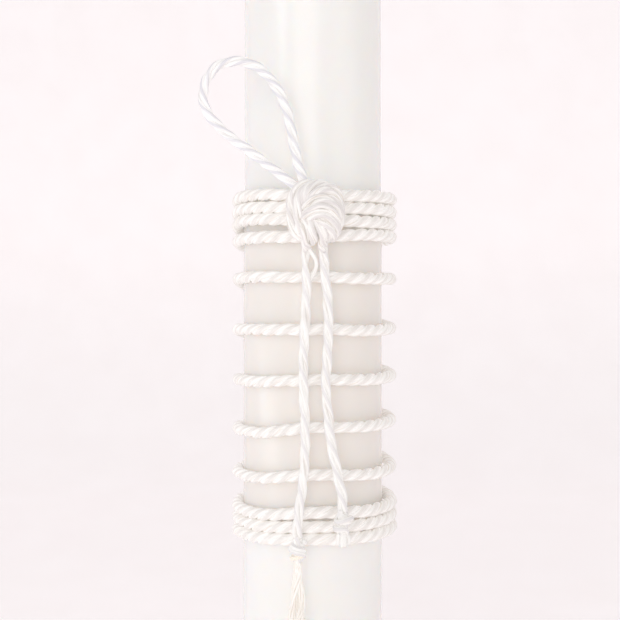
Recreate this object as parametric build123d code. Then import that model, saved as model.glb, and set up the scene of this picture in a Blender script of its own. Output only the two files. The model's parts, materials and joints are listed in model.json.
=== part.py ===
from build123d import *
import math
import os

# A tall pillar candle wound with a twisted satin cord, and a bow of the same cord tied over its top band.
# +Z is up, the foot's centre is the origin, and the bow is on the -Y side. Sizes are in millimetres.

# ---- wax, wick and sustainer ----
candle_diameter = 50.0
candle_height = 300.0
dip_thickness = 0.4          # the lower part carries one more coat of wax than the upper part
rim_radius = 3.0
foot_chamfer = 1.0
wick_diameter = 2.6
wick_length_above_wax = 14.0
sustainer_diameter = 20.0
sustainer_thickness = 0.5
sustainer_neck_diameter = 5.0
sustainer_neck_height = 6.0
foot_recess_depth = 1.2
foot_recess_clearance = 0.5

# ---- cord ----
cord_diameter = 4.0          # pulled round the wax
slack_cord_diameter = 3.6    # the same cord hanging by its own weight
wrap_slack = 0.6             # the turns touch the wax on the left and stand off it on the right
top_turn_z = 208.1
top_band_gaps = (0.05, 0.1, 1.45)
open_pitches = (13.8, 17.6, 17.0, 16.1, 16.0, 12.7)
bottom_band_gaps = (0.9, 0.15)
even_fall = 0.15             # share of a turn's fall that is spread all round
top_band_fall = (60, 150)    # the rest of it lies between these angles, clockwise from the front
open_fall = (75, 262)
bottom_band_fall = (110, 250)
arc_step = 45.0

# ---- bow ----
knot_width = 19.4
knot_height = 21.7
knot_depth = 14.0
knot_edge_radius = 6.0
knot_offset_x = 0.7
knot_offset_z = 0.7          # above the middle of the top band
seat_gap = 0.02
moving_gap = 0.3
loop_root_angle = 123.5
loop_root_radius = 3.6
loop_root_lift = 1.3         # the root's centre stands this far out of the knot
loop_depth = 5.4             # from the front of the turns to the loop's centreline
tail_stand_off = 1.2         # the tails leave the knot this far off the turns and fall back on them
left_tail_x = -2.1
right_tail_x = 3.2

# ---- ends of the tails ----
sealed_end_diameter = 5.0
sealed_end_height = 5.4
sealed_end_waist_diameter = 3.4
binding_ring_diameter = 5.8
binding_ring_height = 2.2
binding_ring_edge_radius = 0.88
ply_diameter = 1.5
ply_count = 3
tassel_length = 40.0
tassel_root_margin = 0.05
end_knot_diameter = 6.0
end_knot_height = 6.8
fray_top_diameter = 3.4
fray_diameter = 4.3
fray_tip_diameter = 3.6
fray_length = 4.8

wax_radius = candle_diameter / 2
cord_radius = cord_diameter / 2
slack_radius = slack_cord_diameter / 2
wrap_radius = wax_radius + cord_radius + wrap_slack
wrap_front = wrap_radius + cord_radius

turn_falls = (
    [cord_diameter + gap for gap in top_band_gaps]
    + list(open_pitches)
    + [cord_diameter + gap for gap in bottom_band_gaps]
)
turn_heights = [top_turn_z - sum(turn_falls[:i]) for i in range(len(turn_falls) + 1)]
turn_fall_angles = (
    [top_band_fall] * len(top_band_gaps)
    + [open_fall] * len(open_pitches)
    + [bottom_band_fall] * len(bottom_band_gaps)
)
top_turns = len(top_band_gaps) + 1
open_turns = len(open_pitches) - 1
bottom_turns = len(bottom_band_gaps) + 1

knot_centre = Vector(
    knot_offset_x,
    -(wrap_front + knot_depth / 2),
    sum(turn_heights[:top_turns]) / top_turns + knot_offset_z,
)
knot_bottom = knot_centre.Z - knot_height / 2


def revolved(points):
    """A solid of revolution about Z from the (radius, height) corners of half its section."""
    outline = make_face(Polyline(*[(r, 0, z) for r, z in points], close=True))
    return revolve(outline, Axis.Z)


# ---- wax, wick and sustainer ----
def candle_body():
    foot_z = foot_recess_depth
    neck_top = foot_z + sustainer_neck_height
    dip_line = (turn_heights[0] + turn_heights[1]) / 2
    upper_radius = wax_radius - dip_thickness
    recess_radius = sustainer_diameter / 2 + foot_recess_clearance
    wax = revolved([
        (wick_diameter / 2, neck_top),
        (wick_diameter / 2, candle_height),
        (upper_radius, candle_height),
        (upper_radius, dip_line + dip_thickness),
        (wax_radius, dip_line),
        (wax_radius, foot_chamfer),
        (wax_radius - foot_chamfer, 0),
        (recess_radius, 0),
        (recess_radius, foot_z),
        (sustainer_neck_diameter / 2, foot_z),
        (sustainer_neck_diameter / 2, neck_top),
    ])
    rim = wax.edges().filter_by(GeomType.CIRCLE).group_by(Axis.Z)[-1].sort_by(SortBy.RADIUS)[-1]
    return fillet(rim, rim_radius)


def wick_sustainer():
    disc_bottom = foot_recess_depth - sustainer_thickness
    return revolved([
        (wick_diameter / 2, disc_bottom),
        (sustainer_diameter / 2, disc_bottom),
        (sustainer_diameter / 2, foot_recess_depth),
        (sustainer_neck_diameter / 2, foot_recess_depth),
        (sustainer_neck_diameter / 2, foot_recess_depth + sustainer_neck_height),
        (wick_diameter / 2, foot_recess_depth + sustainer_neck_height),
    ])


def wick():
    bottom = foot_recess_depth - sustainer_thickness
    length = candle_height + wick_length_above_wax - bottom
    return Pos(0, 0, bottom) * extrude(Circle(wick_diameter / 2), length)


# ---- wound cord ----
def fall_share(turn, turn_angle):
    """How much of this turn's fall is done at this angle from the front, from 0 to 1."""
    fall_start, fall_end = turn_fall_angles[turn]
    s = min(max((turn_angle - fall_start) / (fall_end - fall_start), 0), 1)
    return even_fall * turn_angle / 360 + (1 - even_fall) * s * s * (3 - 2 * s)


def wound_point(angle):
    """The wound cord's centreline. The angle grows clockwise from the front, seen from above."""
    turn = min(max(math.floor(angle / 360), 0), len(turn_falls) - 1)
    past_end = angle / 360 - turn
    if 0 <= past_end < 1:
        z = turn_heights[turn] - turn_falls[turn] * fall_share(turn, 360 * past_end)
    else:
        end_height = turn_heights[0] if angle < 0 else turn_heights[-1]
        z = end_height - turn_falls[turn] * (angle / 360 if angle < 0 else past_end - 1)
    a = math.radians(angle)
    return Vector(wrap_slack - wrap_radius * math.sin(a), -wrap_radius * math.cos(a), z)


def wound_direction(angle):
    return (wound_point(angle + 1) - wound_point(angle - 1)).normalized()


def arc_pair(start, start_direction, end, end_direction):
    """Two arcs in a row that leave the start and reach the end along the given directions."""
    v = end - start
    both = start_direction + end_direction
    k = 2 * (1 - start_direction.dot(end_direction))
    reach = (math.sqrt(v.dot(both) ** 2 + k * v.dot(v)) - v.dot(both)) / k
    a, b = start + start_direction * reach, end - end_direction * reach
    joint = (a + b) * 0.5
    return [
        Edge.make_tangent_arc(start, start_direction, joint),
        Edge.make_tangent_arc(joint, (b - a).normalized(), end),
    ]


def tube(path, diameter, name):
    """A round tube along a path, which prints how its volume compares with its section times its length."""
    section = Plane(origin=path @ 0, z_dir=path % 0) * Circle(diameter / 2)
    solid = sweep(section, path)
    ratio = solid.volume / (math.pi * diameter ** 2 / 4 * path.length)
    print(f"{name}: length {path.length:.1f}, volume ratio {ratio:.4f}")
    return solid


def wound_cord(first_turn, turns, name):
    start = 360 * first_turn - 180
    steps = round(360 * turns / arc_step)
    angles = [start + arc_step * i for i in range(steps + 1)]
    edges = []
    for a, b in zip(angles, angles[1:]):
        edges += arc_pair(wound_point(a), wound_direction(a), wound_point(b), wound_direction(b))
    return tube(Wire(edges), cord_diameter, name)


# ---- free cord ----
def free_route(points, name):
    """Straight runs joined by arcs as large as the runs allow."""
    runs = [(b - a).length for a, b in zip(points, points[1:])]
    radii = []
    for i in range(1, len(points) - 1):
        turn = (points[i] - points[i - 1]).get_angle(points[i + 1] - points[i])
        radii.append(0.45 * min(runs[i - 1], runs[i]) / math.tan(math.radians(turn / 2)))
    print(name, "radii", [round(r, 1) for r in radii])
    return FilletPolyline(*points, radius=radii)


def moved(origin, offsets):
    return [origin + Vector(*offset) for offset in offsets]


# ---- bow knot and loop ----
def knot_side(angle, lift):
    """A point this far off the knot's outline in the plane of the loop, the angle counted up from +X."""
    a = math.radians(angle)
    outward = Vector(math.cos(a) / knot_width, 0, math.sin(a) / knot_height).normalized()
    on_outline = Vector(
        knot_centre.X + knot_width / 2 * math.cos(a),
        -(wrap_front + loop_depth),
        knot_centre.Z + knot_height / 2 * math.sin(a),
    )
    return on_outline + outward * lift


loop_pivot = knot_side(loop_root_angle, loop_root_lift)
loop_offsets = [
    (-1.8, 0.0, -0.5),
    (-8.0, 0.1, 4.0),
    (-15.2, 0.4, 9.6),
    (-23.2, 0.8, 15.5),
    (-29.8, 1.2, 21.8),
    (-31.8, 1.5, 30.3),
    (-27.8, 1.6, 37.9),
    (-19.8, 1.6, 40.8),
    (-11.6, 1.3, 37.3),
    (-5.8, 0.9, 30.3),
    (-2.7, 0.5, 21.8),
    (-1.1, 0.2, 12.3),
    (1.4, 0.0, 1.6),
]


def bow_knot():
    front_y = -(wrap_front + knot_depth)
    front = Plane(origin=(knot_centre.X, front_y, knot_centre.Z), x_dir=(1, 0, 0), z_dir=(0, 1, 0))
    outline = front * Ellipse(knot_width / 2, knot_height / 2)
    lump = extrude(outline, knot_depth + wrap_front - wrap_radius)
    lump = fillet(lump.edges().sort_by(Axis.Y)[0], knot_edge_radius)
    seat = Pos(wrap_slack, 0, knot_centre.Z) * Cylinder(wrap_front + seat_gap, 2 * knot_height)
    socket = Pos(*loop_pivot) * Sphere(loop_root_radius + moving_gap)
    return lump - seat - socket


def bow_loop():
    path = free_route(moved(loop_pivot, loop_offsets), "bow_loop")
    return tube(path, slack_cord_diameter, "bow_loop") + Pos(*loop_pivot) * Sphere(loop_root_radius)


# ---- tails ----
tail_pivot_y = -(wrap_front + slack_radius + tail_stand_off)
tail_pivot_z = knot_bottom - moving_gap - slack_radius
left_pivot = Vector(left_tail_x, tail_pivot_y, tail_pivot_z)
right_pivot = Vector(right_tail_x, tail_pivot_y, tail_pivot_z)
left_offsets = [
    (0.0, 0.0, 0.0),
    (0.0, 0.6, -13.4),
    (-0.8, 0.8, -28.4),
    (-1.3, 0.6, -43.4),
    (-0.4, 0.7, -58.4),
    (-0.6, 0.7, -71.4),
    (-2.0, 0.6, -82.6),
    (-3.0, 0.4, -90.0),
    (-3.0, 0.4, -95.5),
]
right_offsets = [
    (0.0, 0.0, 0.0),
    (1.3, 0.6, -10.9),
    (2.0, 0.8, -23.4),
    (1.7, 0.7, -34.4),
    (0.9, 0.6, -43.9),
    (1.7, 0.7, -53.9),
    (2.7, 0.7, -64.4),
    (4.9, 0.5, -74.4),
    (6.8, 0.2, -82.4),
    (6.8, 0.2, -86.9),
]


def tail(pivot, offsets, name):
    cord = tube(free_route(moved(pivot, offsets), name), slack_cord_diameter, name)
    round_top = Pos(*pivot) * Sphere(slack_radius)
    return cord + round_top


sealed_end_top = left_pivot + Vector(*left_offsets[-1])
ring_top = sealed_end_top.Z - sealed_end_height
ply_circle_radius = ply_diameter / 2 / math.sin(math.pi / ply_count)      # touching plies side by side
tassel_root_radius = ply_circle_radius + ply_diameter / 2 + tassel_root_margin
tassel_pivot = Vector(
    sealed_end_top.X,
    sealed_end_top.Y,
    ring_top - binding_ring_height - moving_gap - tassel_root_radius,
)
end_knot_top = right_pivot + Vector(*right_offsets[-1])
fray_top = end_knot_top.Z - end_knot_height


def barrel(top_radius, widest_radius, bottom_radius, height):
    """A turned shape with a flat top and bottom and a round side, standing down from the origin."""
    side = ThreePointArc((top_radius, 0, 0), (widest_radius, 0, -height / 2), (bottom_radius, 0, -height))
    rest = Polyline((bottom_radius, 0, -height), (0, 0, -height), (0, 0, 0), (top_radius, 0, 0))
    return revolve(make_face([side, rest]), Axis.Z)


def left_tail_end():
    waist = sealed_end_waist_diameter / 2
    bulb = barrel(slack_radius, sealed_end_diameter / 2, waist, sealed_end_height)
    neck = Pos(0, 0, -sealed_end_height) * extrude(Circle(waist), -binding_ring_height)
    return Pos(*sealed_end_top) * (bulb + neck)


def binding_ring():
    section = Circle(binding_ring_diameter / 2) - Circle(sealed_end_waist_diameter / 2)
    ring = extrude(section, binding_ring_height)
    outer_edges = ring.edges().filter_by(GeomType.CIRCLE).sort_by(SortBy.RADIUS)[-2:]
    ring = fillet(outer_edges, binding_ring_edge_radius)
    return Pos(sealed_end_top.X, sealed_end_top.Y, ring_top - binding_ring_height) * ring


def tassel_root():
    upper_half = extrude(Circle(2 * tassel_root_radius), tassel_root_radius)
    return Pos(*tassel_pivot) * (Sphere(tassel_root_radius) & upper_half)


# share of the tassel's length, distance from the bundle's middle in tight bundles, and turn in degrees
ply_stops = [(0, 1, 0), (0.12, 1, 0), (0.3, 1.35, 30), (0.52, 1.75, 70), (0.76, 1.9, 105), (1, 1.8, 130)]


def tassel_ply(index):
    """One ply, which spreads and wanders a little round the bundle on its way down."""
    start_angle = 360 / ply_count * index + 90
    points = []
    for share, spread, twist in ply_stops:
        a = math.radians(start_angle - twist)
        across = Vector(math.cos(a), math.sin(a)) * (ply_circle_radius * spread)
        points.append(tassel_pivot + across - Vector(0, 0, share * tassel_length))
    name = f"tassel_ply_{index + 1}"
    return tube(free_route(points, name), ply_diameter, name)


def right_tail_knot():
    knot = barrel(slack_radius, end_knot_diameter / 2, fray_top_diameter / 2, end_knot_height)
    return Pos(*end_knot_top) * knot


def right_tail_fray():
    tuft = barrel(fray_top_diameter / 2, fray_diameter / 2, fray_tip_diameter / 2, fray_length)
    return Pos(end_knot_top.X, end_knot_top.Y, fray_top) * tuft


parts = {
    "candle_body": candle_body(),
    "wick": wick(),
    "wick_sustainer": wick_sustainer(),
    "wrap_top_band": wound_cord(0, top_turns, "wrap_top_band"),
    "wrap_open_turns": wound_cord(top_turns, open_turns, "wrap_open_turns"),
    "wrap_bottom_band": wound_cord(top_turns + open_turns, bottom_turns, "wrap_bottom_band"),
    "bow_knot": bow_knot(),
    "bow_loop": bow_loop(),
    "left_tail": tail(left_pivot, left_offsets, "left_tail"),
    "left_tail_end": left_tail_end(),
    "binding_ring": binding_ring(),
    "tassel_root": tassel_root(),
    "right_tail": tail(right_pivot, right_offsets, "right_tail"),
    "right_tail_knot": right_tail_knot(),
    "right_tail_fray": right_tail_fray(),
}
for i in range(ply_count):
    parts[f"tassel_ply_{i + 1}"] = tassel_ply(i)

os.makedirs("parts", exist_ok=True)
for name, solid in parts.items():
    export_step(solid, f"parts/{name}.step")
print("hinges of the loop, the tails and the tassel", loop_pivot, left_pivot, right_pivot, tassel_pivot)
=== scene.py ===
import json
import math

import bpy
import numpy as np
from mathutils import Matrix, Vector


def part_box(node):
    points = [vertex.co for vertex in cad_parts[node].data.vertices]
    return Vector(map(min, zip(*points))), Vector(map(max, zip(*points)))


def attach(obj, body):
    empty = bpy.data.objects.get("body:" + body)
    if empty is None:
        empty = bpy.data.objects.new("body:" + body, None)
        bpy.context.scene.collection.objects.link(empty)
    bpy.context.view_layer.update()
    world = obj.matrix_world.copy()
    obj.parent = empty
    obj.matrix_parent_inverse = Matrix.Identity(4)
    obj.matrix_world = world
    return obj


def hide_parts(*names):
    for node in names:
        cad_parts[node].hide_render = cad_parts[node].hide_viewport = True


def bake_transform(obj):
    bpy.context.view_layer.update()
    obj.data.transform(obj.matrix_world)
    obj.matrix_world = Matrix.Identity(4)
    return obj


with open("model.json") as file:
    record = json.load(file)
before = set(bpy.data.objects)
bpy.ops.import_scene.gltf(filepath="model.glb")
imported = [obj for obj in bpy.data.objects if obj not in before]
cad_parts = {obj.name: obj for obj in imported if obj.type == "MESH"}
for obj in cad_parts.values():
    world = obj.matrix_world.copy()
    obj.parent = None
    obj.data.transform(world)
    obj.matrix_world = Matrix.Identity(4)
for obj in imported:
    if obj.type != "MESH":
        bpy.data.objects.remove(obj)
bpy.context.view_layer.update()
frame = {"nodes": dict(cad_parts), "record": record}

MM = 0.001
WHOLE_TURN = 2 * math.pi


# ---------------------------------------------------------------- places, from the frame

def middle(node):
    low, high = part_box(node)
    return (np.array(low) + np.array(high)) / 2


def hinge(joint_name):
    joint = next(j for j in frame["record"]["behaviour"]["joints"] if j["name"] == joint_name)
    return np.array(joint["pos_m"])


LOOP_HINGE = hinge("loop_lean")
LEFT_HINGE = hinge("left_tail_swing")
RIGHT_HINGE = hinge("right_tail_swing")
TASSEL_HINGE = hinge("tassel_swing")
KNOT_DEPTH = 7 * MM
KNOT = middle("bow_knot")
KNOT[1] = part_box("bow_knot")[0][1] + KNOT_DEPTH
WAX_LOW, WAX_HIGH = (np.array(corner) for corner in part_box("candle_body"))
WAX_RADIUS = (WAX_HIGH[0] - WAX_LOW[0]) / 2
WAX_TOP = WAX_HIGH[2]

# ---------------------------------------------------------------- cord sizes, metres

CORD = 4.0 * MM
# how thick the loop and the tails are drawn
LOOP_THICKNESS = 3.5 * MM
TAIL_THICKNESS = 3.5 * MM
# a cord's plies: how many, and their radius and their distance from its middle as shares of its diameter
PLIES = 3
PLY_RADIUS = 0.245
PLY_OFFSET = 0.262
# the wound cord's plies are fuller, most of all in the bands, where neighbouring turns press together
BAND_PLY_RADIUS = 0.302
OPEN_PLY_RADIUS_LESS = 0.036
WRAP_LAY = 15.6 * MM
TAIL_LAY = 25.0 * MM
LOOP_LAY = 19.5 * MM
KNOT_LAY = 27.0 * MM

# the wound cord: the CAD's turns, each then moved a little at its shoulders. The coil is this much wider
# than a snug one, and sits as far to the right
WRAP_SLACK = 0.6 * MM
WRAP_RADIUS = WAX_RADIUS + CORD / 2 + WRAP_SLACK
TOP_TURN_Z = 208.1 * MM
TURN_FALLS = [f * MM for f in (4.05, 4.1, 5.45, 13.8, 17.6, 17.0, 16.1, 16.0, 12.7, 4.9, 4.15)]
FALL_ANGLES = [(60, 150)] * 3 + [(75, 262)] * 6 + [(110, 250)] * 2
EVEN_FALL = 0.15
# how far each turn is pushed up or sags at its left and right shoulders, in millimetres
SHOULDERS = [
    (1.3, 0.2), (0.9, 0.3), (1.0, -0.1), (0.3, 0.9), (0.6, -0.6), (0.1, -0.9),
    (-0.9, -0.7), (-2.4, -0.6), (-2.0, -1.2), (-1.9, -0.9), (-1.0, -0.3), (-0.4, -0.4),
]
TURNS_PER_STRETCH = {"wrap_top_band": 4, "wrap_open_turns": 5, "wrap_bottom_band": 3}

# the free cords: offsets from their hinges, in millimetres, as in the CAD
LOOP_ROUTE = [
    (-1.8, 0.0, -0.5), (-8.0, 0.1, 4.0), (-15.2, 0.4, 9.6), (-23.2, 0.8, 15.5), (-29.8, 1.2, 21.8),
    (-31.8, 1.5, 30.3), (-27.8, 1.6, 37.9), (-19.8, 1.6, 40.8), (-11.6, 1.3, 37.3), (-5.8, 0.9, 30.3),
    (-2.7, 0.5, 21.8), (-1.1, 0.2, 12.3), (1.4, 0.0, 1.6),
]
LEFT_ROUTE = [
    (0.0, 0.0, 0.0), (0.0, 0.6, -13.4), (-0.8, 0.8, -28.4), (-1.3, 0.6, -43.4), (-0.4, 0.7, -58.4),
    (-0.6, 0.7, -71.4), (-2.0, 0.6, -82.6), (-3.0, 0.4, -90.0), (-3.0, 0.4, -95.5),
]
RIGHT_ROUTE = [
    (0.0, 0.0, 0.0), (1.3, 0.6, -10.9), (2.0, 0.8, -23.4), (1.7, 0.7, -34.4), (0.9, 0.6, -43.9),
    (1.7, 0.7, -53.9), (2.7, 0.7, -64.4), (4.9, 0.5, -74.4), (6.8, 0.2, -82.4), (6.8, 0.2, -86.9),
]


# ---------------------------------------------------------------- lines

def respaced(line, spacing):
    """The same line with its points evenly spaced."""
    along = np.r_[0, np.cumsum(np.linalg.norm(np.diff(line, axis=0), axis=1))]
    stops = np.linspace(0, along[-1], max(4, round(along[-1] / spacing) + 1))
    return np.column_stack([np.interp(stops, along, line[:, i]) for i in range(3)])


def smooth_line(points, spacing):
    """The NURBS spline whose control points these are, as evenly spaced points."""
    curve = bpy.data.curves.new("route", "CURVE")
    curve.dimensions = "3D"
    spline = curve.splines.new("NURBS")
    spline.points.add(len(points) - 1)
    for control, point in zip(spline.points, points):
        control.co = (*point, 1)
    spline.order_u = 3
    spline.use_endpoint_u = True
    spline.resolution_u = 32
    holder = bpy.data.objects.new("route", curve)
    mesh = bpy.data.meshes.new_from_object(holder)
    line = np.array([v.co[:] for v in mesh.vertices])
    bpy.data.objects.remove(holder)
    bpy.data.curves.remove(curve)
    bpy.data.meshes.remove(mesh)
    return respaced(line, spacing)


def length_of(line):
    return float(np.linalg.norm(np.diff(line, axis=0), axis=1).sum())


def unit(v):
    return v / np.linalg.norm(v, axis=-1, keepdims=True)


def side_frames(line):
    """The line's direction, and two sideways directions that don't spin round it."""
    forward = unit(np.gradient(line, axis=0))
    side = np.zeros_like(line)
    start = np.cross(forward[0], (0, 0, 1)) if abs(forward[0][2]) < 0.9 else np.cross(forward[0], (0, 1, 0))
    side[0] = unit(start)
    for i in range(1, len(line)):
        side[i] = unit(side[i - 1] - forward[i] * (side[i - 1] @ forward[i]))
    return forward, side, np.cross(forward, side)


def slow_noise(count, knots, seed):
    """A smooth random curve between -1 and 1."""
    random = np.random.default_rng(seed)
    values = random.uniform(-1, 1, knots + 3)
    x = np.linspace(0, knots, count)
    i = np.minimum(x.astype(int), knots - 1)
    t = x - i
    a, b, c, d = values[i], values[i + 1], values[i + 2], values[i + 3]
    return b + 0.5 * t * (c - a + t * (2 * a - 5 * b + 4 * c - d + t * (3 * (b - c) + d - a)))


# ---------------------------------------------------------------- meshes

class Build:
    """Collects tubes into one mesh, with each point's place in its fibre's own space."""

    def __init__(self):
        self.points, self.fibre, self.quads, self.caps = [], [], [], []
        self.count = 0

    def tube(self, line, radius, around=24, lobes=6, lobe_depth=0.05, twist=0.0, flatten=1.0, sides=None,
             seed=0.0):
        """A closed tube along the line. Radius is one number or one for each point; twist turns its fibres
        round it, in turns per metre; flatten squashes it along the first sideways direction."""
        rings = len(line)
        radius = np.broadcast_to(radius, rings)
        _, side, up = side_frames(line) if sides is None else sides
        along = np.r_[0, np.cumsum(np.linalg.norm(np.diff(line, axis=0), axis=1))]
        angle = np.arange(around) / around * WHOLE_TURN
        grain = angle[None, :] + (twist * WHOLE_TURN * along)[:, None]
        r = radius[:, None] * (1 + lobe_depth * np.cos(lobes * grain))
        a = r * np.cos(angle) * flatten
        b = r * np.sin(angle)
        points = line[:, None, :] + a[..., None] * side[:, None, :] + b[..., None] * up[:, None, :]
        lengthwise = np.broadcast_to(along[:, None] / MM, grain.shape)
        fibre = np.stack([np.cos(grain), np.sin(grain), lengthwise], -1)
        fibre[..., 2] += seed
        base = self.count
        ring = np.arange(around)
        start = base + np.arange(rings - 1)[:, None] * around
        quads = np.stack([start + ring, start + np.roll(ring, -1), start + around + np.roll(ring, -1),
                          start + around + ring], -1).reshape(-1, 4)
        self.points += [points.reshape(-1, 3), line[[0, -1]]]
        self.fibre += [fibre.reshape(-1, 3), np.array([[0, 0, seed], [0, 0, along[-1] / MM + seed]])]
        self.quads.append(quads)
        end = base + rings * around
        last = base + (rings - 1) * around
        self.caps += [(base + (i + 1) % around, base + i, end) for i in range(around)]
        self.caps += [(last + i, last + (i + 1) % around, end + 1) for i in range(around)]
        self.count = end + 2

    def finish(self, name, material):
        points = np.concatenate(self.points)
        faces = np.concatenate(self.quads).tolist() + self.caps
        mesh = bpy.data.meshes.new(name)
        mesh.from_pydata(points.tolist(), [], faces)
        mesh.polygons.foreach_set("use_smooth", np.ones(len(faces), bool))
        fibre = mesh.attributes.new("fibre", "FLOAT_VECTOR", "POINT")
        fibre.data.foreach_set("vector", np.concatenate(self.fibre).astype(np.float32).ravel())
        mesh.materials.append(material)
        mesh.update()
        obj = bpy.data.objects.new(name, mesh)
        bpy.context.scene.collection.objects.link(obj)
        return obj


def ply_lines(line, diameter, lay, phase=0.0, wander=0.12, spread=1.0, seed=0):
    """The centrelines of a rope's plies, laid to the left (S-laid), and the sideways frames of each."""
    _, side, up = side_frames(line)
    along = np.r_[0, np.cumsum(np.linalg.norm(np.diff(line, axis=0), axis=1))]
    knots = max(3, round(along[-1] / (3 * diameter)))
    swing = wander * slow_noise(len(line), knots, seed)
    made = []
    for k in range(PLIES):
        own = wander * slow_noise(len(line), knots, seed + 11 * (k + 1))
        angle = phase + WHOLE_TURN * (k / PLIES - along / lay) + swing + 0.6 * own
        out = np.cos(angle)[:, None] * side + np.sin(angle)[:, None] * up
        offset = diameter * PLY_OFFSET * spread * (1 + 0.10 * slow_noise(len(line), knots, seed + 5 * k + 3))
        centre = line + out * offset[:, None]
        ahead = unit(np.gradient(centre, axis=0))
        u = unit(out - ahead * (out * ahead).sum(1)[:, None])
        made.append((centre, (ahead, u, np.cross(ahead, u))))
    return made


def rope(build, line, diameter, lay, phase=0.0, seed=0, around=24, wander=0.12, spread=1.0, stray=None):
    """A twisted cord: plies wound round each other, each one a bundle of yarns. A stray is one ply that
    has come away from the others: (which ply, how far along, over what length, which way it bows out)."""
    ply_radius = diameter * PLY_RADIUS
    n = len(line)
    along = np.r_[0, np.cumsum(np.linalg.norm(np.diff(line, axis=0), axis=1))]
    for k, (centre, sides) in enumerate(ply_lines(line, diameter, lay, phase, wander, spread, seed)):
        knots = max(3, round(length_of(line) / (2 * diameter)))
        radius = ply_radius * (1 + 0.05 * slow_noise(n, knots, seed + 29 * k + 1))
        if stray and stray[0] == k:
            _, place, span, bow = stray
            swell = np.exp(-((along - place) / (span / 2)) ** 2)
            centre = centre + swell[:, None] * np.array(bow)
            radius = radius * (1 - 0.25 * swell)
            sides = side_frames(centre)
        build.tube(centre, radius, around=around, lobes=6, lobe_depth=0.06, flatten=0.94, sides=sides,
                   seed=37.0 * k + seed)


# ---------------------------------------------------------------- materials

def node(tree, kind, **settings):
    made = tree.nodes.new(kind)
    for key, value in settings.items():
        setattr(made, key, value)
    return made


def principled(name):
    material = bpy.data.materials.new(name)
    material.use_nodes = True
    tree = material.node_tree
    tree.nodes.clear()
    shader = tree.nodes.new("ShaderNodeBsdfPrincipled")
    out = tree.nodes.new("ShaderNodeOutputMaterial")
    tree.links.new(shader.outputs["BSDF"], out.inputs["Surface"])
    return material, tree, shader


def ramp(tree, source, stops):
    made = tree.nodes.new("ShaderNodeValToRGB")
    made.color_ramp.elements[0].position, made.color_ramp.elements[0].color = stops[0][0], (*stops[0][1], 1)
    made.color_ramp.elements[1].position, made.color_ramp.elements[1].color = stops[-1][0], (*stops[-1][1], 1)
    for position, color in stops[1:-1]:
        element = made.color_ramp.elements.new(position)
        element.color = (*color, 1)
    tree.links.new(source, made.inputs["Fac"])
    return made.outputs["Color"]


def stretched(tree, source, scale):
    mapping = tree.nodes.new("ShaderNodeMapping")
    mapping.inputs["Scale"].default_value = scale
    tree.links.new(source, mapping.inputs["Vector"])
    return mapping.outputs["Vector"]


def noise(tree, vector, scale, detail=2.0, roughness=0.5):
    made = tree.nodes.new("ShaderNodeTexNoise")
    made.inputs["Scale"].default_value = scale
    made.inputs["Detail"].default_value = detail
    made.inputs["Roughness"].default_value = roughness
    tree.links.new(vector, made.inputs["Vector"])
    return made.outputs["Fac"]


def bump(tree, shader, height, strength, distance, under=None):
    made = tree.nodes.new("ShaderNodeBump")
    made.inputs["Strength"].default_value = strength
    made.inputs["Distance"].default_value = distance
    tree.links.new(height, made.inputs["Height"])
    if under is not None:
        tree.links.new(under, made.inputs["Normal"])
    tree.links.new(made.outputs["Normal"], shader.inputs["Normal"])
    return made.outputs["Normal"]


# a Mix node's colour sockets, which share their names with its other kinds of socket
MIX_A, MIX_B, MIX_RESULT = 6, 7, 2


def mixed(tree, blend, factor, first, second):
    """Two colours mixed. The factor is a number or a socket, and the second colour a colour or a socket."""
    made = node(tree, "ShaderNodeMix", data_type="RGBA", blend_type=blend)
    if isinstance(factor, float):
        made.inputs["Factor"].default_value = factor
    else:
        tree.links.new(factor, made.inputs["Factor"])
    tree.links.new(first, made.inputs[MIX_A])
    if isinstance(second, tuple):
        made.inputs[MIX_B].default_value = (*second, 1)
    else:
        tree.links.new(second, made.inputs[MIX_B])
    return made.outputs[MIX_RESULT]


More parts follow.
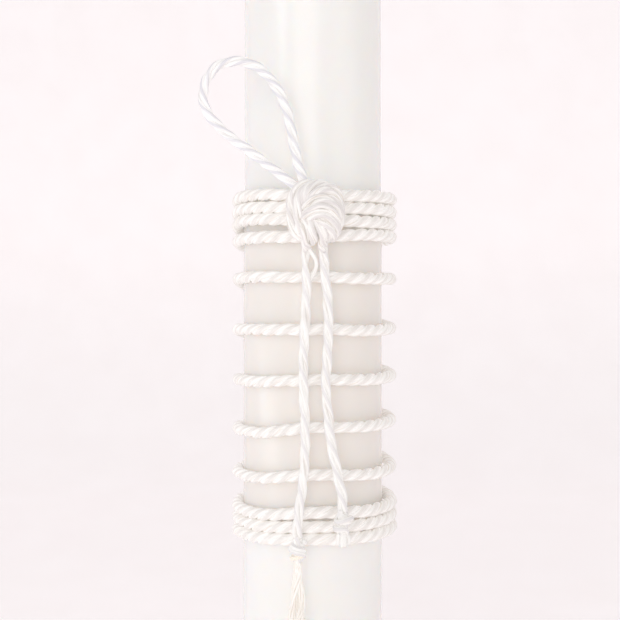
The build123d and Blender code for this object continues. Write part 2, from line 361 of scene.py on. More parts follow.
def satin(name, shade, painted_outward_shade, light, glow, roughness=0.30, sheen=0.3):
    """Silky fibres: each ply is a few strands side by side with finer fibres along them, with painted shade
    in patches on the side of each ply that faces out of the cord, standing in for the darker reflection
    there.
    The glow is painted light: an emission of the fibres' own colour that stands in for light coming through
    thin white threads and lifts the shaded grooves."""
    material, tree, shader = principled(name)
    fibre = node(tree, "ShaderNodeAttribute", attribute_name="fibre").outputs["Vector"]
    strands = noise(tree, stretched(tree, fibre, (0.9, 0.9, 0.07)), 1.7, 2.0, 0.55)
    fibres = noise(tree, stretched(tree, fibre, (3.0, 3.0, 0.10)), 2.2, 3.0, 0.60)
    split = tree.nodes.new("ShaderNodeSeparateXYZ")
    tree.links.new(fibre, split.inputs["Vector"])
    # painted shade: the side of each ply that faces out of the cord is mixed, in patches, towards a darker
    # colour standing in for the darker reflection there
    outward_shade_mask = ramp(tree, split.outputs["X"], [(0.62, (0, 0, 0)), (0.90, (1, 1, 1))])
    patches = ramp(tree, noise(tree, stretched(tree, fibre, (0.3, 0.3, 0.10)), 1.3, 2.0),
                   [(0.30, (0.5, 0.5, 0.5)), (0.50, (1, 1, 1))])

    base = ramp(tree, strands, [(0.28, shade), (0.48, light)])
    color = mixed(tree, "MIX", mixed(tree, "MULTIPLY", 1.0, outward_shade_mask, patches), base, painted_outward_shade)
    fibre_shade = ramp(tree, fibres, [(0.36, (0.90, 0.88, 0.86)), (0.58, (1, 1, 1))])
    color = mixed(tree, "MULTIPLY", 0.2, color, fibre_shade)
    tree.links.new(color, shader.inputs["Base Color"])
    rough = ramp(tree, fibres, [(0.3, (roughness + 0.12,) * 3), (0.7, (roughness - 0.08,) * 3)])
    tree.links.new(rough, shader.inputs["Roughness"])
    shader.inputs["Specular IOR Level"].default_value = 0.9
    shader.inputs["Sheen Weight"].default_value = sheen
    shader.inputs["Sheen Roughness"].default_value = 0.3
    # painted light: the fibres glow in their own colour, which lifts the shaded grooves and the gaps between
    # turns
    tree.links.new(color, shader.inputs["Emission Color"])
    shader.inputs["Emission Strength"].default_value = glow
    low = bump(tree, shader, strands, 0.35, 0.0002)
    bump(tree, shader, fibres, 0.3, 0.00005, low)
    return material


def wax_material():
    """Pearl wax, with painted shade between the two bands of cord: there it is darker and warmer, standing in
    for the cords' shade and their warm bounce light.
    """
    material, tree, shader = principled("pearl_wax")
    place = node(tree, "ShaderNodeTexCoord").outputs["Object"]
    clouds = noise(tree, place, 38, 3.0, 0.55)
    fine = noise(tree, place, 420, 3.0, 0.6)
    color = ramp(tree, clouds, [(0.30, (0.968, 0.960, 0.948)), (0.52, (0.976, 0.970, 0.962)),
                                (0.74, (0.984, 0.980, 0.974))])
    height = tree.nodes.new("ShaderNodeSeparateXYZ")
    tree.links.new(place, height.inputs["Vector"])
    low_edge, high_edge, soft = 0.094, 0.2065, 0.004
    band = tree.nodes.new("ShaderNodeMapRange")
    band.inputs["From Min"].default_value = 0.0
    band.inputs["From Max"].default_value = WAX_TOP
    tree.links.new(height.outputs["Z"], band.inputs["Value"])
    # painted shade and warm bounce light: between the bands the wax colour is multiplied by a darker, warmer
    # colour
    clear, painted_shade_cream = (0.995, 0.965, 0.93), (0.90, 0.865, 0.828)
    painted_shade_tint = ramp(tree, band.outputs["Result"], [
        ((low_edge - soft) / WAX_TOP, clear), ((low_edge + soft) / WAX_TOP, painted_shade_cream),
        ((high_edge - soft) / WAX_TOP, painted_shade_cream), ((high_edge + soft) / WAX_TOP, clear)])
    tree.links.new(mixed(tree, "MULTIPLY", 1.0, color, painted_shade_tint), shader.inputs["Base Color"])
    shader.inputs["Roughness"].default_value = 0.26
    shader.inputs["Subsurface Weight"].default_value = 0.9
    shader.inputs["Subsurface Radius"].default_value = (1.0, 0.85, 0.72)
    shader.inputs["Subsurface Scale"].default_value = 7 * MM
    shader.inputs["IOR"].default_value = 1.44
    shader.inputs["Coat Weight"].default_value = 0.15
    shader.inputs["Coat Roughness"].default_value = 0.2
    bump(tree, shader, fine, 0.10, 0.00005)
    return material


def tinplate_material():
    material, tree, shader = principled("tinplate")
    place = node(tree, "ShaderNodeTexCoord").outputs["Object"]
    brushed = noise(tree, stretched(tree, place, (900, 40, 40)), 1.0, 3.0, 0.6)
    color = ramp(tree, brushed, [(0.3, (0.52, 0.52, 0.51)), (0.7, (0.68, 0.68, 0.67))])
    tree.links.new(color, shader.inputs["Base Color"])
    tree.links.new(ramp(tree, brushed, [(0.3, (0.30,) * 3), (0.7, (0.42,) * 3)]), shader.inputs["Roughness"])
    shader.inputs["Metallic"].default_value = 1.0
    bump(tree, shader, brushed, 0.2, 0.00003)
    return material


# the wrap, knot, tail and loop satins are copies of one cord's satin, each coloured apart for how light and
# # shade fall where it lies: painted light and shade. Each satin's darker strands, the painted shade on the
# side
# # of its plies that faces out of the cord, and its lighter strands
SATIN_WRAP = satin("satin_wrap", (0.74, 0.69, 0.635), (0.73, 0.70, 0.67), (0.845, 0.83, 0.81), glow=0.22)
SATIN_KNOT = satin("satin_knot", (0.66, 0.605, 0.545), (0.71, 0.68, 0.67), (0.86, 0.845, 0.825),
                   glow=0.16, sheen=0.2)
SATIN_TAIL = satin("satin_tail", (0.70, 0.66, 0.62), (0.72, 0.70, 0.70), (0.84, 0.83, 0.81), glow=0.18)
SATIN_LOOP = satin("satin_loop", (0.73, 0.71, 0.70), (0.67, 0.66, 0.695), (0.87, 0.86, 0.85), glow=0.18)
SATIN_TASSEL = satin("satin_tassel", (0.72, 0.665, 0.59), (0.80, 0.76, 0.705), (0.90, 0.875, 0.84), glow=0.18)
BINDING = satin("tan_binding", (0.78, 0.68, 0.54), (0.84, 0.76, 0.64), (0.92, 0.86, 0.76), glow=0.15)
WICK_COTTON = satin("wick_cotton", (0.62, 0.56, 0.46), (0.70, 0.65, 0.56), (0.84, 0.80, 0.72),
                    glow=0.03, roughness=0.6)
WAX = wax_material()
TINPLATE = tinplate_material()


# ---------------------------------------------------------------- wound cord

def smooth_step(x):
    x = np.clip(x, 0, 1)
    return x * x * (3 - 2 * x)


def fall_share(turn, turn_angle):
    """How much of its turn's fall the cord has made here: some of it evenly, the rest at the back."""
    fall_start, fall_end = FALL_ANGLES[turn]
    steep = smooth_step((turn_angle - fall_start) / (fall_end - fall_start))
    return EVEN_FALL * turn_angle / 360 + (1 - EVEN_FALL) * steep


def shoulder(angle):
    """How far the cord is out of its even course here: nothing at the front and back, most at its
    shoulders."""
    turn = min(max(round(angle / 360), 0), len(SHOULDERS) - 1)
    from_front = angle - 360 * turn
    left, right = SHOULDERS[turn]
    most = (left if from_front > 0 else right) * MM
    return most * smooth_step(abs(from_front) / 48) * (1 - smooth_step((abs(from_front) - 72) / 70))


def wound_line(first_angle, last_angle, step=1.25):
    heights = TOP_TURN_Z - np.r_[0, np.cumsum(TURN_FALLS)]
    line = []
    for angle in np.arange(first_angle, last_angle + step / 2, step):
        turn = min(max(math.floor(angle / 360), 0), len(TURN_FALLS) - 1)
        past = angle / 360 - turn
        if 0 <= past < 1:
            z = heights[turn] - TURN_FALLS[turn] * fall_share(turn, 360 * past)
        elif angle < 0:
            z = heights[0] - TURN_FALLS[0] * angle / 360
        else:
            z = heights[-1] - TURN_FALLS[-1] * (past - 1)
        a = math.radians(angle)
        line.append((WRAP_SLACK - WRAP_RADIUS * math.sin(a), -WRAP_RADIUS * math.cos(a), z + shoulder(angle)))
    return np.array(line)


def wound_cord():
    """One rope all the way down, cut into the CAD's three stretches."""
    turns = sum(TURNS_PER_STRETCH.values())
    whole = respaced(wound_line(-180, 360 * turns - 180), 0.7 * MM)
    plies = ply_lines(whole, CORD, WRAP_LAY, phase=0.4, wander=0.22, seed=3)
    knots = round(length_of(whole) / (2 * CORD))
    turn = np.linspace(0, turns, len(whole))
    bands = TURNS_PER_STRETCH["wrap_top_band"], turns - TURNS_PER_STRETCH["wrap_bottom_band"]
    loose = smooth_step((turn - bands[0] + 0.4) / 0.6) * (1 - smooth_step((turn - bands[1] + 0.2) / 0.6))
    share = BAND_PLY_RADIUS - OPEN_PLY_RADIUS_LESS * loose
    thick = [CORD * share * (1 + 0.05 * slow_noise(len(whole), knots, 71 + k)) for k in range(PLIES)]
    first = 0
    for name, count in TURNS_PER_STRETCH.items():
        last = first + round(len(whole) * count / turns)
        last = len(whole) - 1 if name == "wrap_bottom_band" else last
        build = Build()
        for k, (centre, sides) in enumerate(plies):
            part = slice(first, last + 1)
            build.tube(centre[part], thick[k][part], around=24, lobes=6, lobe_depth=0.06, flatten=0.94,
                       sides=[s[part] for s in sides], seed=37.0 * k)
        obj = build.finish(name + "_rope", SATIN_WRAP)
        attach(obj, "pillar")
        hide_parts(name)
        first = last


# ---------------------------------------------------------------- free cords

def route_points(origin, offsets):
    return [origin + np.array(offset) * MM for offset in offsets]


def free_rope(name, thickness, material, origin, offsets, lay, node_name, phase, seed,
              extra_start=(), extra_end=(), stray=None):
    """A cord that hangs from the knot. The extra points lie inside the knot."""
    points = route_points(origin, list(extra_start) + list(offsets) + list(extra_end))
    line = smooth_line(points, 0.5 * MM)
    build = Build()
    rope(build, line, thickness, lay, phase=phase, seed=seed, wander=0.35, stray=stray)
    obj = build.finish(name, material)
    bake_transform(obj)
    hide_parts(node_name)
    return obj, line


def loop():
    obj, line = free_rope("loop_rope", LOOP_THICKNESS, SATIN_LOOP, LOOP_HINGE, LOOP_ROUTE, LOOP_LAY,
                          "bow_loop", 0.0, 17,
                          extra_start=[(2.2, 0.6, -4.6)], extra_end=[(4.0, 0.6, -3.4)])


def tails():
    loose_ply = (1, 10 * MM, 10 * MM, (2.3 * MM, -0.5 * MM, 0))
    for name, origin, offsets, body, seed, pieces, stray in (
        ("left_tail", LEFT_HINGE, LEFT_ROUTE, "left_tail_body", 23, left_end(), loose_ply),
        ("right_tail", RIGHT_HINGE, RIGHT_ROUTE, "right_tail_body", 41, right_end(), None),
    ):
        obj, line = free_rope(name + "_rope", TAIL_THICKNESS, SATIN_TAIL, origin, offsets, TAIL_LAY,
                              name, 0.7, seed,
                              extra_start=[(0.0, -1.5, 5.5)], stray=stray)


# ---------------------------------------------------------------- the knot

# each pass of cord over the knot: millimetres right of its middle, up from it, and out towards the front
KNOT_PASSES = {
    "outer_left": [(1.5, 8.6, -1.5), (-1.2, 9.1, 0.6), (-4.8, 8.4, 1.2), (-7.2, 6.0, 0.8),
                   (-8.1, 2.8, 0.3), (-8.2, -0.8, 0.0), (-7.8, -4.2, 0.2), (-6.4, -7.2, 0.8),
                   (-4.2, -8.9, 0.2), (-2.4, -9.0, -2.5)],
    "inner_left": [(1.5, 7.2, 0.5), (-1.6, 7.6, 2.6), (-3.9, 6.6, 3.2), (-5.3, 4.2, 3.4),
                   (-5.7, 0.8, 3.6), (-5.7, -2.8, 3.5), (-5.2, -5.6, 3.0), (-4.4, -8.0, 1.2),
                   (-3.4, -8.6, -2.0)],
    "rising": [(-4.0, 0.0, 2.0), (-4.2, 3.6, 3.8), (-3.0, 6.8, 3.4), (-0.6, 8.7, 1.8),
               (2.4, 9.0, -0.5)],
    "fan_1": [(-4.0, 1.0, 2.3), (-3.0, 4.9, 4.2), (-0.6, 7.6, 3.4), (2.6, 9.0, 1.2), (5.6, 7.9, 0.0),
              (7.7, 5.2, -1.4), (8.3, 1.8, -2.2), (8.1, -1.5, -2.6), (7.6, -4.5, -3.2)],
    "fan_2": [(-3.6, 1.2, 2.6), (-1.4, 4.6, 4.9), (1.9, 6.4, 4.4), (5.0, 6.0, 2.9), (7.1, 3.6, 1.6),
              (8.0, 0.5, 0.6), (8.2, -2.7, -0.2), (7.6, -5.6, -1.2), (6.2, -7.4, -2.8)],
    "fan_3": [(-3.9, 0.0, 3.0), (-1.5, 2.6, 5.3), (1.9, 3.8, 5.7), (4.9, 2.7, 4.7), (6.7, 0.3, 3.3),
              (7.5, -2.7, 2.0), (7.2, -6.0, 0.6), (6.0, -8.0, -1.2)],
    "fan_4": [(-4.2, -0.8, 2.6), (-1.2, 0.4, 5.4), (2.3, 1.0, 6.0), (5.2, -0.1, 4.8), (6.9, -2.7, 3.4),
              (7.2, -5.4, 1.6), (6.6, -7.6, -0.4)],
    "fan_5": [(-4.0, -2.8, 2.8), (-1.2, -1.7, 5.6), (2.4, -1.3, 6.2), (5.2, -2.6, 5.2),
              (6.6, -4.9, 3.6), (6.6, -7.6, 1.6), (5.4, -9.0, -0.8)],
    "fan_6": [(-0.6, -3.0, 3.8), (2.4, -3.8, 5.2), (4.8, -5.5, 4.4), (5.8, -8.0, 2.2),
              (4.6, -9.4, -0.4)],
    "into_right_tail": [(0.2, -2.8, 4.0), (1.7, -5.6, 4.9), (2.6, -8.4, 3.4), (2.6, -10.6, 0.4),
                        (2.5, -12.2, -2.6)],
    "into_left_tail": [(-4.2, -2.6, 2.6), (-3.6, -5.4, 4.2), (-3.0, -8.4, 3.2), (-2.8, -10.8, 0.2),
                       (-2.8, -12.2, -2.6)],
    "bight": [(-1.8, -2.6, 3.6), (-1.2, -5.8, 4.4), (-0.8, -8.6, 3.2), (-0.7, -10.2, 1.0),
              (-0.7, -9.4, -1.8)],
    "back_high": [(-6.6, 5.4, -0.6), (-6.2, 5.0, -3.0), (-3.0, 5.2, -4.9), (1.0, 5.4, -5.2),
                  (4.6, 4.8, -4.4), (7.0, 4.4, -2.4)],
    "back_middle": [(-7.9, 0.8, -1.6), (-6.4, 0.4, -4.0), (-2.4, 0.0, -5.2), (2.2, -0.2, -5.2),
                    (6.2, 0.4, -4.2), (7.9, 0.8, -2.4)],
    "back_low": [(-7.0, -4.4, -1.4), (-5.4, -4.8, -3.8), (-1.6, -5.2, -5.0), (2.4, -5.2, -4.8),
                 (5.6, -4.8, -3.6), (7.4, -4.0, -2.0)],
    "back_top": [(-4.4, 8.0, -0.8), (-2.0, 8.2, -2.9), (1.6, 8.2, -3.2), (5.0, 7.2, -2.2)],
    "back_foot": [(-4.6, -7.8, -0.8), (-2.2, -8.2, -3.0), (1.8, -8.2, -3.2), (5.0, -7.2, -2.4)],
}
KNOT_CORD = 3.3 * MM
# the turns that fill it: how many, how far they reach sideways and up, and where they start and how deep
# they go
CORE_TURNS = 3.5
CORE_RIGHT, CORE_UP = 4.9, 5.9
CORE_FRONT, CORE_DEEP = 2.6, 5.4


def knot_point(right, up, out):
    return KNOT + np.array((right, -out, up)) * MM


def knot():
    """The bow's knot: each visible pass of the cord laid over the ones before, and turns that fill it."""
    build = Build()
    for i, points in enumerate(KNOT_PASSES.values()):
        line = smooth_line([knot_point(*p) for p in points], 0.5 * MM)
        rope(build, line, KNOT_CORD, KNOT_LAY, phase=1.3 * i, seed=100 + 7 * i, wander=0.8, spread=1.12)
    core = []
    for t in np.linspace(0, 1, 60):
        a = WHOLE_TURN * CORE_TURNS * t
        core.append(knot_point(CORE_RIGHT * math.cos(a), CORE_UP * math.sin(a), CORE_FRONT - CORE_DEEP * t))
    rope(build, respaced(np.array(core), 0.7 * MM), KNOT_CORD * 1.15, KNOT_LAY, seed=91, around=14)
    for side in (-1, 1):
        upright = np.array([knot_point(1.6 * side, 4.6, 0.5), knot_point(1.6 * side, -4.6, 0.5)])
        rope(build, respaced(upright, 0.7 * MM), KNOT_CORD * 1.4, KNOT_LAY, seed=93, around=14)
    obj = build.finish("bow_knot_rope", SATIN_KNOT)
    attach(obj, "pillar")
    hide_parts("bow_knot")


# ---------------------------------------------------------------- the ends of the tails

def turned(name, profile, material, around, wave):
    """A form turned about the upright axis from (radius, height) points, closed at both ends, and uneven by
    about as much as the wave."""
    profile = np.array(profile)
    angle = np.arange(around) / around * WHOLE_TURN
    radius, height = profile[:, 0][:, None], profile[:, 1][:, None]
    uneven = wave * (np.sin(2 * angle + 31 * height) + np.sin(3 * angle - 53 * height + 1)
                     + 0.7 * np.sin(5 * angle + 97 * height))
    r = radius + uneven * np.minimum(1, radius / (5 * MM))
    x = r * np.cos(angle)
    y = r * np.sin(angle)
    z = np.broadcast_to(height, x.shape)
    points = np.stack([x, y, z], -1).reshape(-1, 3).tolist()
    rows = len(profile)
    ring = np.arange(around)
    start = np.arange(rows - 1)[:, None] * around
    quads = np.stack([start + ring, start + np.roll(ring, -1), start + around + np.roll(ring, -1),
                      start + around + ring], -1).reshape(-1, 4).tolist()
    points += [(0, 0, profile[0, 1]), (0, 0, profile[-1, 1])]
    low, high = rows * around, rows * around + 1
    last = (rows - 1) * around
    caps = [((i + 1) % around, i, low) for i in range(around)]
    caps += [(last + i, last + (i + 1) % around, high) for i in range(around)]
    mesh = bpy.data.meshes.new(name)
    mesh.from_pydata(points, [], quads + caps)
    mesh.polygons.foreach_set("use_smooth", np.ones(len(quads) + len(caps), bool))
    mesh.materials.append(material)
    obj = bpy.data.objects.new(name, mesh)
    bpy.context.scene.collection.objects.link(obj)
    return obj


def left_end():
    """The left tail ends sealed in a rounded bead over a tan binding, with the tassel under it."""
    x, y, _ = middle("left_tail_end")
    bottom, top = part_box("left_tail_end")[0][2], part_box("left_tail_end")[1][2]
    height = top - bottom
    bead = Build()
    turn = []
    for t in np.linspace(0, 1, 50):
        a = WHOLE_TURN * (0.15 + 1.35 * t)
        turn.append((x + 1.5 * MM * math.sin(a), y - 1.5 * MM * math.cos(a),
                     top - height * (0.16 + 0.66 * t)))
    rope(bead, respaced(np.array(turn), 0.35 * MM), 3.5 * MM, 44 * MM, seed=51, wander=0.4)
    core = np.array([(x, y, top + 0.5 * MM), (x + 0.1 * MM, y, bottom + 1.5 * MM), (x, y, bottom - 0.5 * MM)])
    rope(bead, respaced(core, 0.4 * MM), 3.2 * MM, 16 * MM, seed=52)
    end = bead.finish("left_tail_end_rope", SATIN_TAIL)
    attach(end, "left_tail_body")
    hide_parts("left_tail_end")

    x, y, _ = middle("binding_ring")
    ring_low, ring_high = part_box("binding_ring")
    low, high = ring_low[2], ring_high[2]
    thread = 0.55 * MM
    turns = 3.2
    radius = (ring_high[0] - ring_low[0]) / 2 - thread / 2
    wound = []
    for t in np.linspace(0, 1, round(turns * 40)):
        a = WHOLE_TURN * turns * t
        tilt = 0.24 * radius * math.cos(a)
        squeeze = 0.80 + 0.12 * math.sin(math.pi * t)
        wound.append((x + radius * squeeze * math.cos(a), y + radius * squeeze * math.sin(a),
                      low + 0.35 * (high - low) + 0.55 * (high - low) * t + tilt))
    ring = Build()
    ring.tube(respaced(np.array(wound), 0.2 * MM), thread * 0.56, around=12, lobes=3, lobe_depth=0.08,
              twist=420)
    band = ring.finish("binding_thread", BINDING)
    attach(band, "left_tail_body")
    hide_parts("binding_ring")
    return [end, band] + tassel()


ROOT_STRANDS = 7
TASSEL_STRANDS = 4
# how many turns each ply, and each strand within its ply, makes on its way down
PLY_TURNS = 1.15
STRAND_TURNS = 1.6
TASSEL_STEPS = 160


def tassel():
    """Loosely twisted strands, each a small bundle, spreading a little as they hang."""
    made = []
    top = TASSEL_HINGE[2] + 2.0 * MM
    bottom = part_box("tassel_ply_1")[0][2]
    x, y = TASSEL_HINGE[0], TASSEL_HINGE[1]
    fall = top - bottom
    root = Build()
    out = 0.72 * MM
    for k in range(ROOT_STRANDS):
        a = WHOLE_TURN * k / ROOT_STRANDS
        line = [(x + 0.8 * out * math.cos(a), y + 0.8 * out * math.sin(a), top + 0.4 * MM),
                (x + out * math.cos(a + 0.3), y + out * math.sin(a + 0.3), top - 2.2 * MM),
                (x + 1.1 * out * math.cos(a + 0.6), y + 1.1 * out * math.sin(a + 0.6), top - 4.4 * MM)]
        root.tube(respaced(np.array(line), 0.3 * MM), 0.5 * MM, around=14, lobes=4, lobe_depth=0.05,
                  twist=120)
    base = root.finish("tassel_root_strands", SATIN_TASSEL)
    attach(base, "tassel")
    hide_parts("tassel_root")
    made.append(base)
    steps = TASSEL_STEPS
    t = np.linspace(0, 1, steps)
    for ply in range(PLIES):
        build = Build()
        for strand in range(TASSEL_STRANDS):
            seed = 200 + 10 * ply + strand
            own = WHOLE_TURN * (strand / TASSEL_STRANDS - STRAND_TURNS * t) + 0.9 * slow_noise(steps, 5, seed)
            turn = WHOLE_TURN * (ply / PLIES - PLY_TURNS * t) + 0.5 * slow_noise(steps, 4, 200 + ply)
            out = (0.50 + 1.5 * np.minimum(1, 2.2 * t) + 0.35 * t * slow_noise(steps, 5, 230 + ply)) * MM
            loose = (0.30 + 0.55 * np.minimum(1, 2 * t) + 0.16 * slow_noise(steps, 6, seed + 5)) * MM
            line = np.column_stack([x + out * np.cos(turn) + loose * np.cos(own),
                                    y + 0.8 * out * np.sin(turn) + 0.8 * loose * np.sin(own),
                                    top - fall * t * (1 - 0.035 * (strand % 3))])
            radius = 0.37 * MM * (1 + 0.14 * slow_noise(steps, 9, seed + 7))
            radius = radius * np.clip((1 - t) * 22, 0.25, 1)
            build.tube(line, radius, around=14, lobes=4, lobe_depth=0.10, twist=45, seed=5.0 * seed)
            for fibre in range(3):
                drift = slow_noise(steps, 7, seed + 40 + fibre)
                stray = line + np.column_stack([0.55 * MM * drift, -0.30 * MM * np.abs(drift), 0 * drift])
                build.tube(stray[3 * fibre:], 0.075 * MM, around=6, lobes=0, lobe_depth=0.0, seed=3.0 * seed)
        name = f"tassel_ply_{ply + 1}"
        obj = build.finish(name + "_strands", SATIN_TASSEL)
        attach(obj, "tassel")
        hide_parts(name)
        made.append(obj)
    return made


def right_end():
    """The right tail ends in a small overhand knot with a short frayed tip."""
    x, y, _ = middle("right_tail_knot")
    low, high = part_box("right_tail_knot")[0][2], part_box("right_tail_knot")[1][2]
    build = Build()
    turns = 1.4
    coil = [(x - 0.2 * MM, y, high + 0.6 * MM)]
    for t in np.linspace(0, 1, 60):
        a = WHOLE_TURN * (0.62 + turns * t)
        reach = 2.1 * MM * math.sin(math.pi * (0.12 + 0.76 * t)) ** 0.5
        coil.append((x + reach * math.sin(a), y - reach * math.cos(a),
                     high - 1.3 * MM - (high - low - 2.4 * MM) * t + 0.8 * MM * math.sin(a)))
    coil.append((x + 0.3 * MM, y, low - 0.3 * MM))
    rope(build, smooth_line(coil[::5] + coil[-1:], 0.35 * MM), 3.6 * MM, 44 * MM, seed=61, wander=0.4)
    heart = np.array([(x, y, high - 0.4 * MM), (x, y, low + 0.6 * MM)])
    rope(build, respaced(heart, 0.5 * MM), 3.4 * MM, 17 * MM, seed=63)
    knob = build.finish("right_tail_knot_rope", SATIN_TAIL)
    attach(knob, "right_tail_body")
    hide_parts("right_tail_knot")

    x, y, _ = middle("right_tail_fray")
    low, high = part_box("right_tail_fray")[0][2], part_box("right_tail_fray")[1][2]
    tip = Build()
    random = np.random.default_rng(7)
    for k in range(3):
        a = WHOLE_TURN * (k / 3 + 0.08)
        for strand in range(3):
            b = WHOLE_TURN * strand / 3
            start = np.array((x + 0.5 * MM * math.cos(a), y + 0.5 * MM * math.sin(a), high + 0.8 * MM))
            spread = np.array((1.55 * MM * math.cos(a) + 0.42 * MM * math.cos(b),
                               0.95 * MM * math.sin(a) + 0.42 * MM * math.sin(b), 0))
            end = np.array((x, y, low + random.uniform(0.0, 1.1) * MM)) + spread
            bend = (start + end) / 2 + 0.45 * spread + random.uniform(-0.15, 0.15, 3) * MM
            line = smooth_line([start, bend, end + (0, 0, 0.9 * MM), end], 0.22 * MM)
            radius = 0.74 * MM * np.clip(np.linspace(9, 0, len(line)) + 0.35, 0.35, 1)
            tip.tube(line, radius, around=14, lobes=5, lobe_depth=0.07, twist=60, seed=9.0 * (3 * k + strand))
    for k in range(26):
        a = random.uniform(0, WHOLE_TURN)
        reach = random.uniform(0.9, 2.0) * MM
        start = np.array((x + 0.7 * MM * math.cos(a), y + 0.7 * MM * math.sin(a), high - 0.5 * MM))
        end = np.array((x + reach * math.cos(a + 0.3), y + reach * math.sin(a + 0.3),
                        low + random.uniform(-0.3, 1) * MM))
        bend = (start + end) / 2 + np.array((0.5 * math.cos(a), 0.5 * math.sin(a), 0.0)) * MM
        tip.tube(smooth_line([start, bend, end], 0.3 * MM), 0.07 * MM, around=6, lobes=0, lobe_depth=0.0,
                 seed=1.0 * k)
    fray = tip.finish("right_tail_fray_strands", SATIN_TAIL)
    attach(fray, "right_tail_body")
    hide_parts("right_tail_fray")
    return [knob, fray]


# ---------------------------------------------------------------- candle

DIP_THICKNESS = 0.4 * MM
DIP_LINE = 206.1 * MM
FOOT_CHAMFER = 1.0 * MM
RIM_RADIUS = 3.0 * MM
RECESS = (10.5 * MM, 1.2 * MM)
WICK_RADIUS = 1.3 * MM


def candle():
    """A dipped pillar: its thin dip coat ends under the top band, and the wax climbs the wick a little."""
    upper = WAX_RADIUS - DIP_THICKNESS
    recess_radius, recess_depth = RECESS
    profile = [(2.6 * MM, recess_depth), (recess_radius, recess_depth), (recess_radius, 0.1 * MM),
               (recess_radius + 0.1 * MM, 0), (WAX_RADIUS - FOOT_CHAMFER, 0)]
    profile += [(WAX_RADIUS - FOOT_CHAMFER * (1 - math.sin(a)), FOOT_CHAMFER * (1 - math.cos(a)))
                for a in np.linspace(0.25, math.pi / 2, 6)]
    profile += [(WAX_RADIUS, z) for z in np.linspace(4 * MM, DIP_LINE - 0.8 * MM, 70)]
    profile += [(WAX_RADIUS - DIP_THICKNESS * (0.5 - 0.5 * math.cos(math.pi * t)),
                 DIP_LINE + (t - 0.5) * 1.2 * MM) for t in np.linspace(0.15, 1, 7)]
    profile += [(upper, z) for z in np.linspace(DIP_LINE + 2.5 * MM, WAX_TOP - RIM_RADIUS, 34)]
    profile += [(upper - RIM_RADIUS * (1 - math.cos(a)), WAX_TOP - RIM_RADIUS * (1 - math.sin(a)))
                for a in np.linspace(0.12, math.pi / 2, 10)]
    inner = upper - RIM_RADIUS
    dish = 0.5 * MM
    for t in np.linspace(0.06, 1, 26):
        r = inner + (WICK_RADIUS * 0.9 - inner) * t
        climb = 1.1 * MM * math.exp(-(r - WICK_RADIUS) / (1.3 * MM))
        profile.append((r, WAX_TOP - dish * math.sin(math.pi / 2 * min(1, 1.6 * t)) ** 2 + climb))
    obj = turned("candle_body_wax", profile, WAX, around=224, wave=0.035 * MM)
    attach(obj, "pillar")
    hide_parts("candle_body")


def wick():
    low, high = (np.array(c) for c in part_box("wick"))
    x, y = (low[0] + high[0]) / 2, (low[1] + high[1]) / 2
    top = high[2]
    points = [(x, y, low[2] + 0.2 * MM), (x, y, 120 * MM), (x, y, 240 * MM),
              (x, y, WAX_TOP - 6 * MM), (x, y, WAX_TOP + 2 * MM),
              (x + 0.25 * MM, y - 0.1 * MM, WAX_TOP + 7 * MM), (x + 0.7 * MM, y - 0.2 * MM, top - 0.4 * MM)]
    line = smooth_line(points, 0.6 * MM)
    build = Build()
    rope(build, line, 2.5 * MM, 7.5 * MM, seed=81, around=14, wander=0.1)
    obj = build.finish("wick_braid", WICK_COTTON)
    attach(obj, "pillar")
    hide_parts("wick")


def sustainer():
    for slot in frame["nodes"]["wick_sustainer"].material_slots:
        slot.material = TINPLATE


# ---------------------------------------------------------------- camera and light

def camera():
    """Level, 400 mm in front of the candle, and looking at its middle stretch."""
    data = bpy.data.cameras.new("camera")
    data.lens = 64.1
    data.sensor_width = 36
    data.shift_y = -0.016
    data.clip_end = 20
    obj = bpy.data.objects.new("camera", data)
    obj.location = (-1.0 * MM, -0.400, 0.173)
    obj.rotation_euler = (math.pi / 2, 0, 0)
    bpy.context.scene.collection.objects.link(obj)
    bpy.context.scene.camera = obj


def area_light(name, place, target, size, power, color):
    data = bpy.data.lights.new(name, "AREA")
    data.shape = "RECTANGLE"
    data.size, data.size_y = size
    data.energy = power
    data.color = color
    obj = bpy.data.objects.new(name, data)
    place, target = np.array(place), np.array(target)
    obj.location = place
    obj.rotation_euler = Vector(target - place).to_track_quat("-Z", "Z").to_euler()
    obj.visible_camera = False
    bpy.context.scene.collection.objects.link(obj)


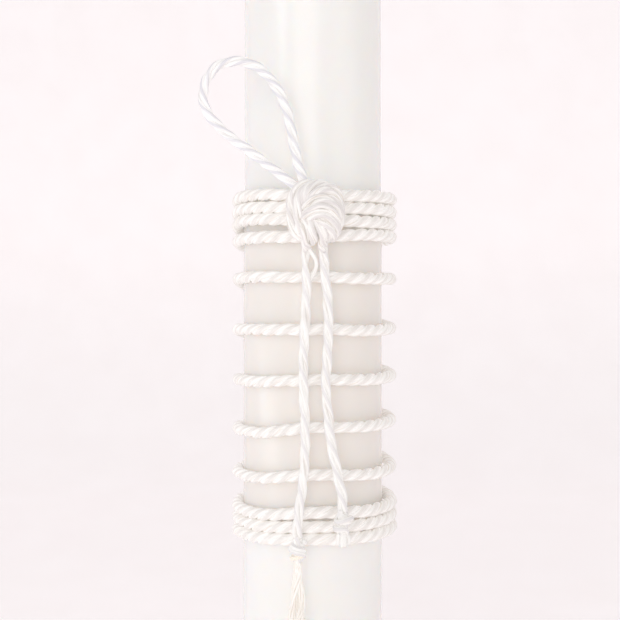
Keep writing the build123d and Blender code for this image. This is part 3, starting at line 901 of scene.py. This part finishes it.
def stage():
    """A pale floor that curves up into a wall."""
    front, back, top, half = -3.0, 0.55, 2.6, 3.0
    bend = 0.25
    profile = [(front, 0.0), (back, 0.0)]
    profile += [(back + bend * math.sin(a), bend - bend * math.cos(a))
                for a in np.linspace(0.1, math.pi / 2, 14)]
    profile += [(back + bend, top)]
    points = [(x, y, z) for y, z in profile for x in (-half, half)]
    faces = [(2 * i, 2 * i + 1, 2 * i + 3, 2 * i + 2) for i in range(len(profile) - 1)]
    mesh = bpy.data.meshes.new("backdrop")
    mesh.from_pydata(points, [], faces)
    mesh.polygons.foreach_set("use_smooth", np.ones(len(faces), bool))
    obj = bpy.data.objects.new("backdrop", mesh)
    bpy.context.scene.collection.objects.link(obj)
    material, tree, shader = principled("backdrop_paper")
    place = node(tree, "ShaderNodeTexCoord").outputs["Object"]
    mottle = noise(tree, place, 26, 3.0, 0.6)
    color = ramp(tree, mottle, [(0.35, (0.93, 0.893, 0.90)), (0.65, (0.95, 0.92, 0.93))])
    tree.links.new(color, shader.inputs["Base Color"])
    shader.inputs["Roughness"].default_value = 0.9
    shader.inputs["Emission Color"].default_value = (1.0, 0.935, 0.925, 1)
    shader.inputs["Emission Strength"].default_value = 0.20
    mesh.materials.append(material)


def lights():
    world = bpy.data.worlds.new("studio")
    bpy.context.scene.world = world
    world.use_nodes = True
    background = world.node_tree.nodes["Background"]
    background.inputs["Color"].default_value = (0.98, 0.97, 0.975, 1)
    background.inputs["Strength"].default_value = 0.60
    area_light("upper_strip", (-0.50, -0.33, 0.47), (0, 0, 0.25), (0.08, 0.30), 0.27, (0.93, 0.96, 1.0))
    area_light("lower_strip", (-0.29, -0.075, 0.10), (0, 0, 0.11), (0.045, 0.20), 0.07, (0.88, 0.94, 1.0))
    area_light("front", (-0.30, -1.5, 0.42), (0, 0, 0.17), (1.0, 1.0), 5.6, (1.0, 0.985, 0.97))
    area_light("side_fill", (0.8, -0.6, 0.4), (0, 0, 0.17), (0.6, 0.6), 0.7, (1.0, 0.97, 0.95))


camera()
wound_cord()
loop()
tails()
knot()
candle()
wick()
sustainer()
stage()
lights()
bpy.context.scene.view_settings.view_transform = "Standard"
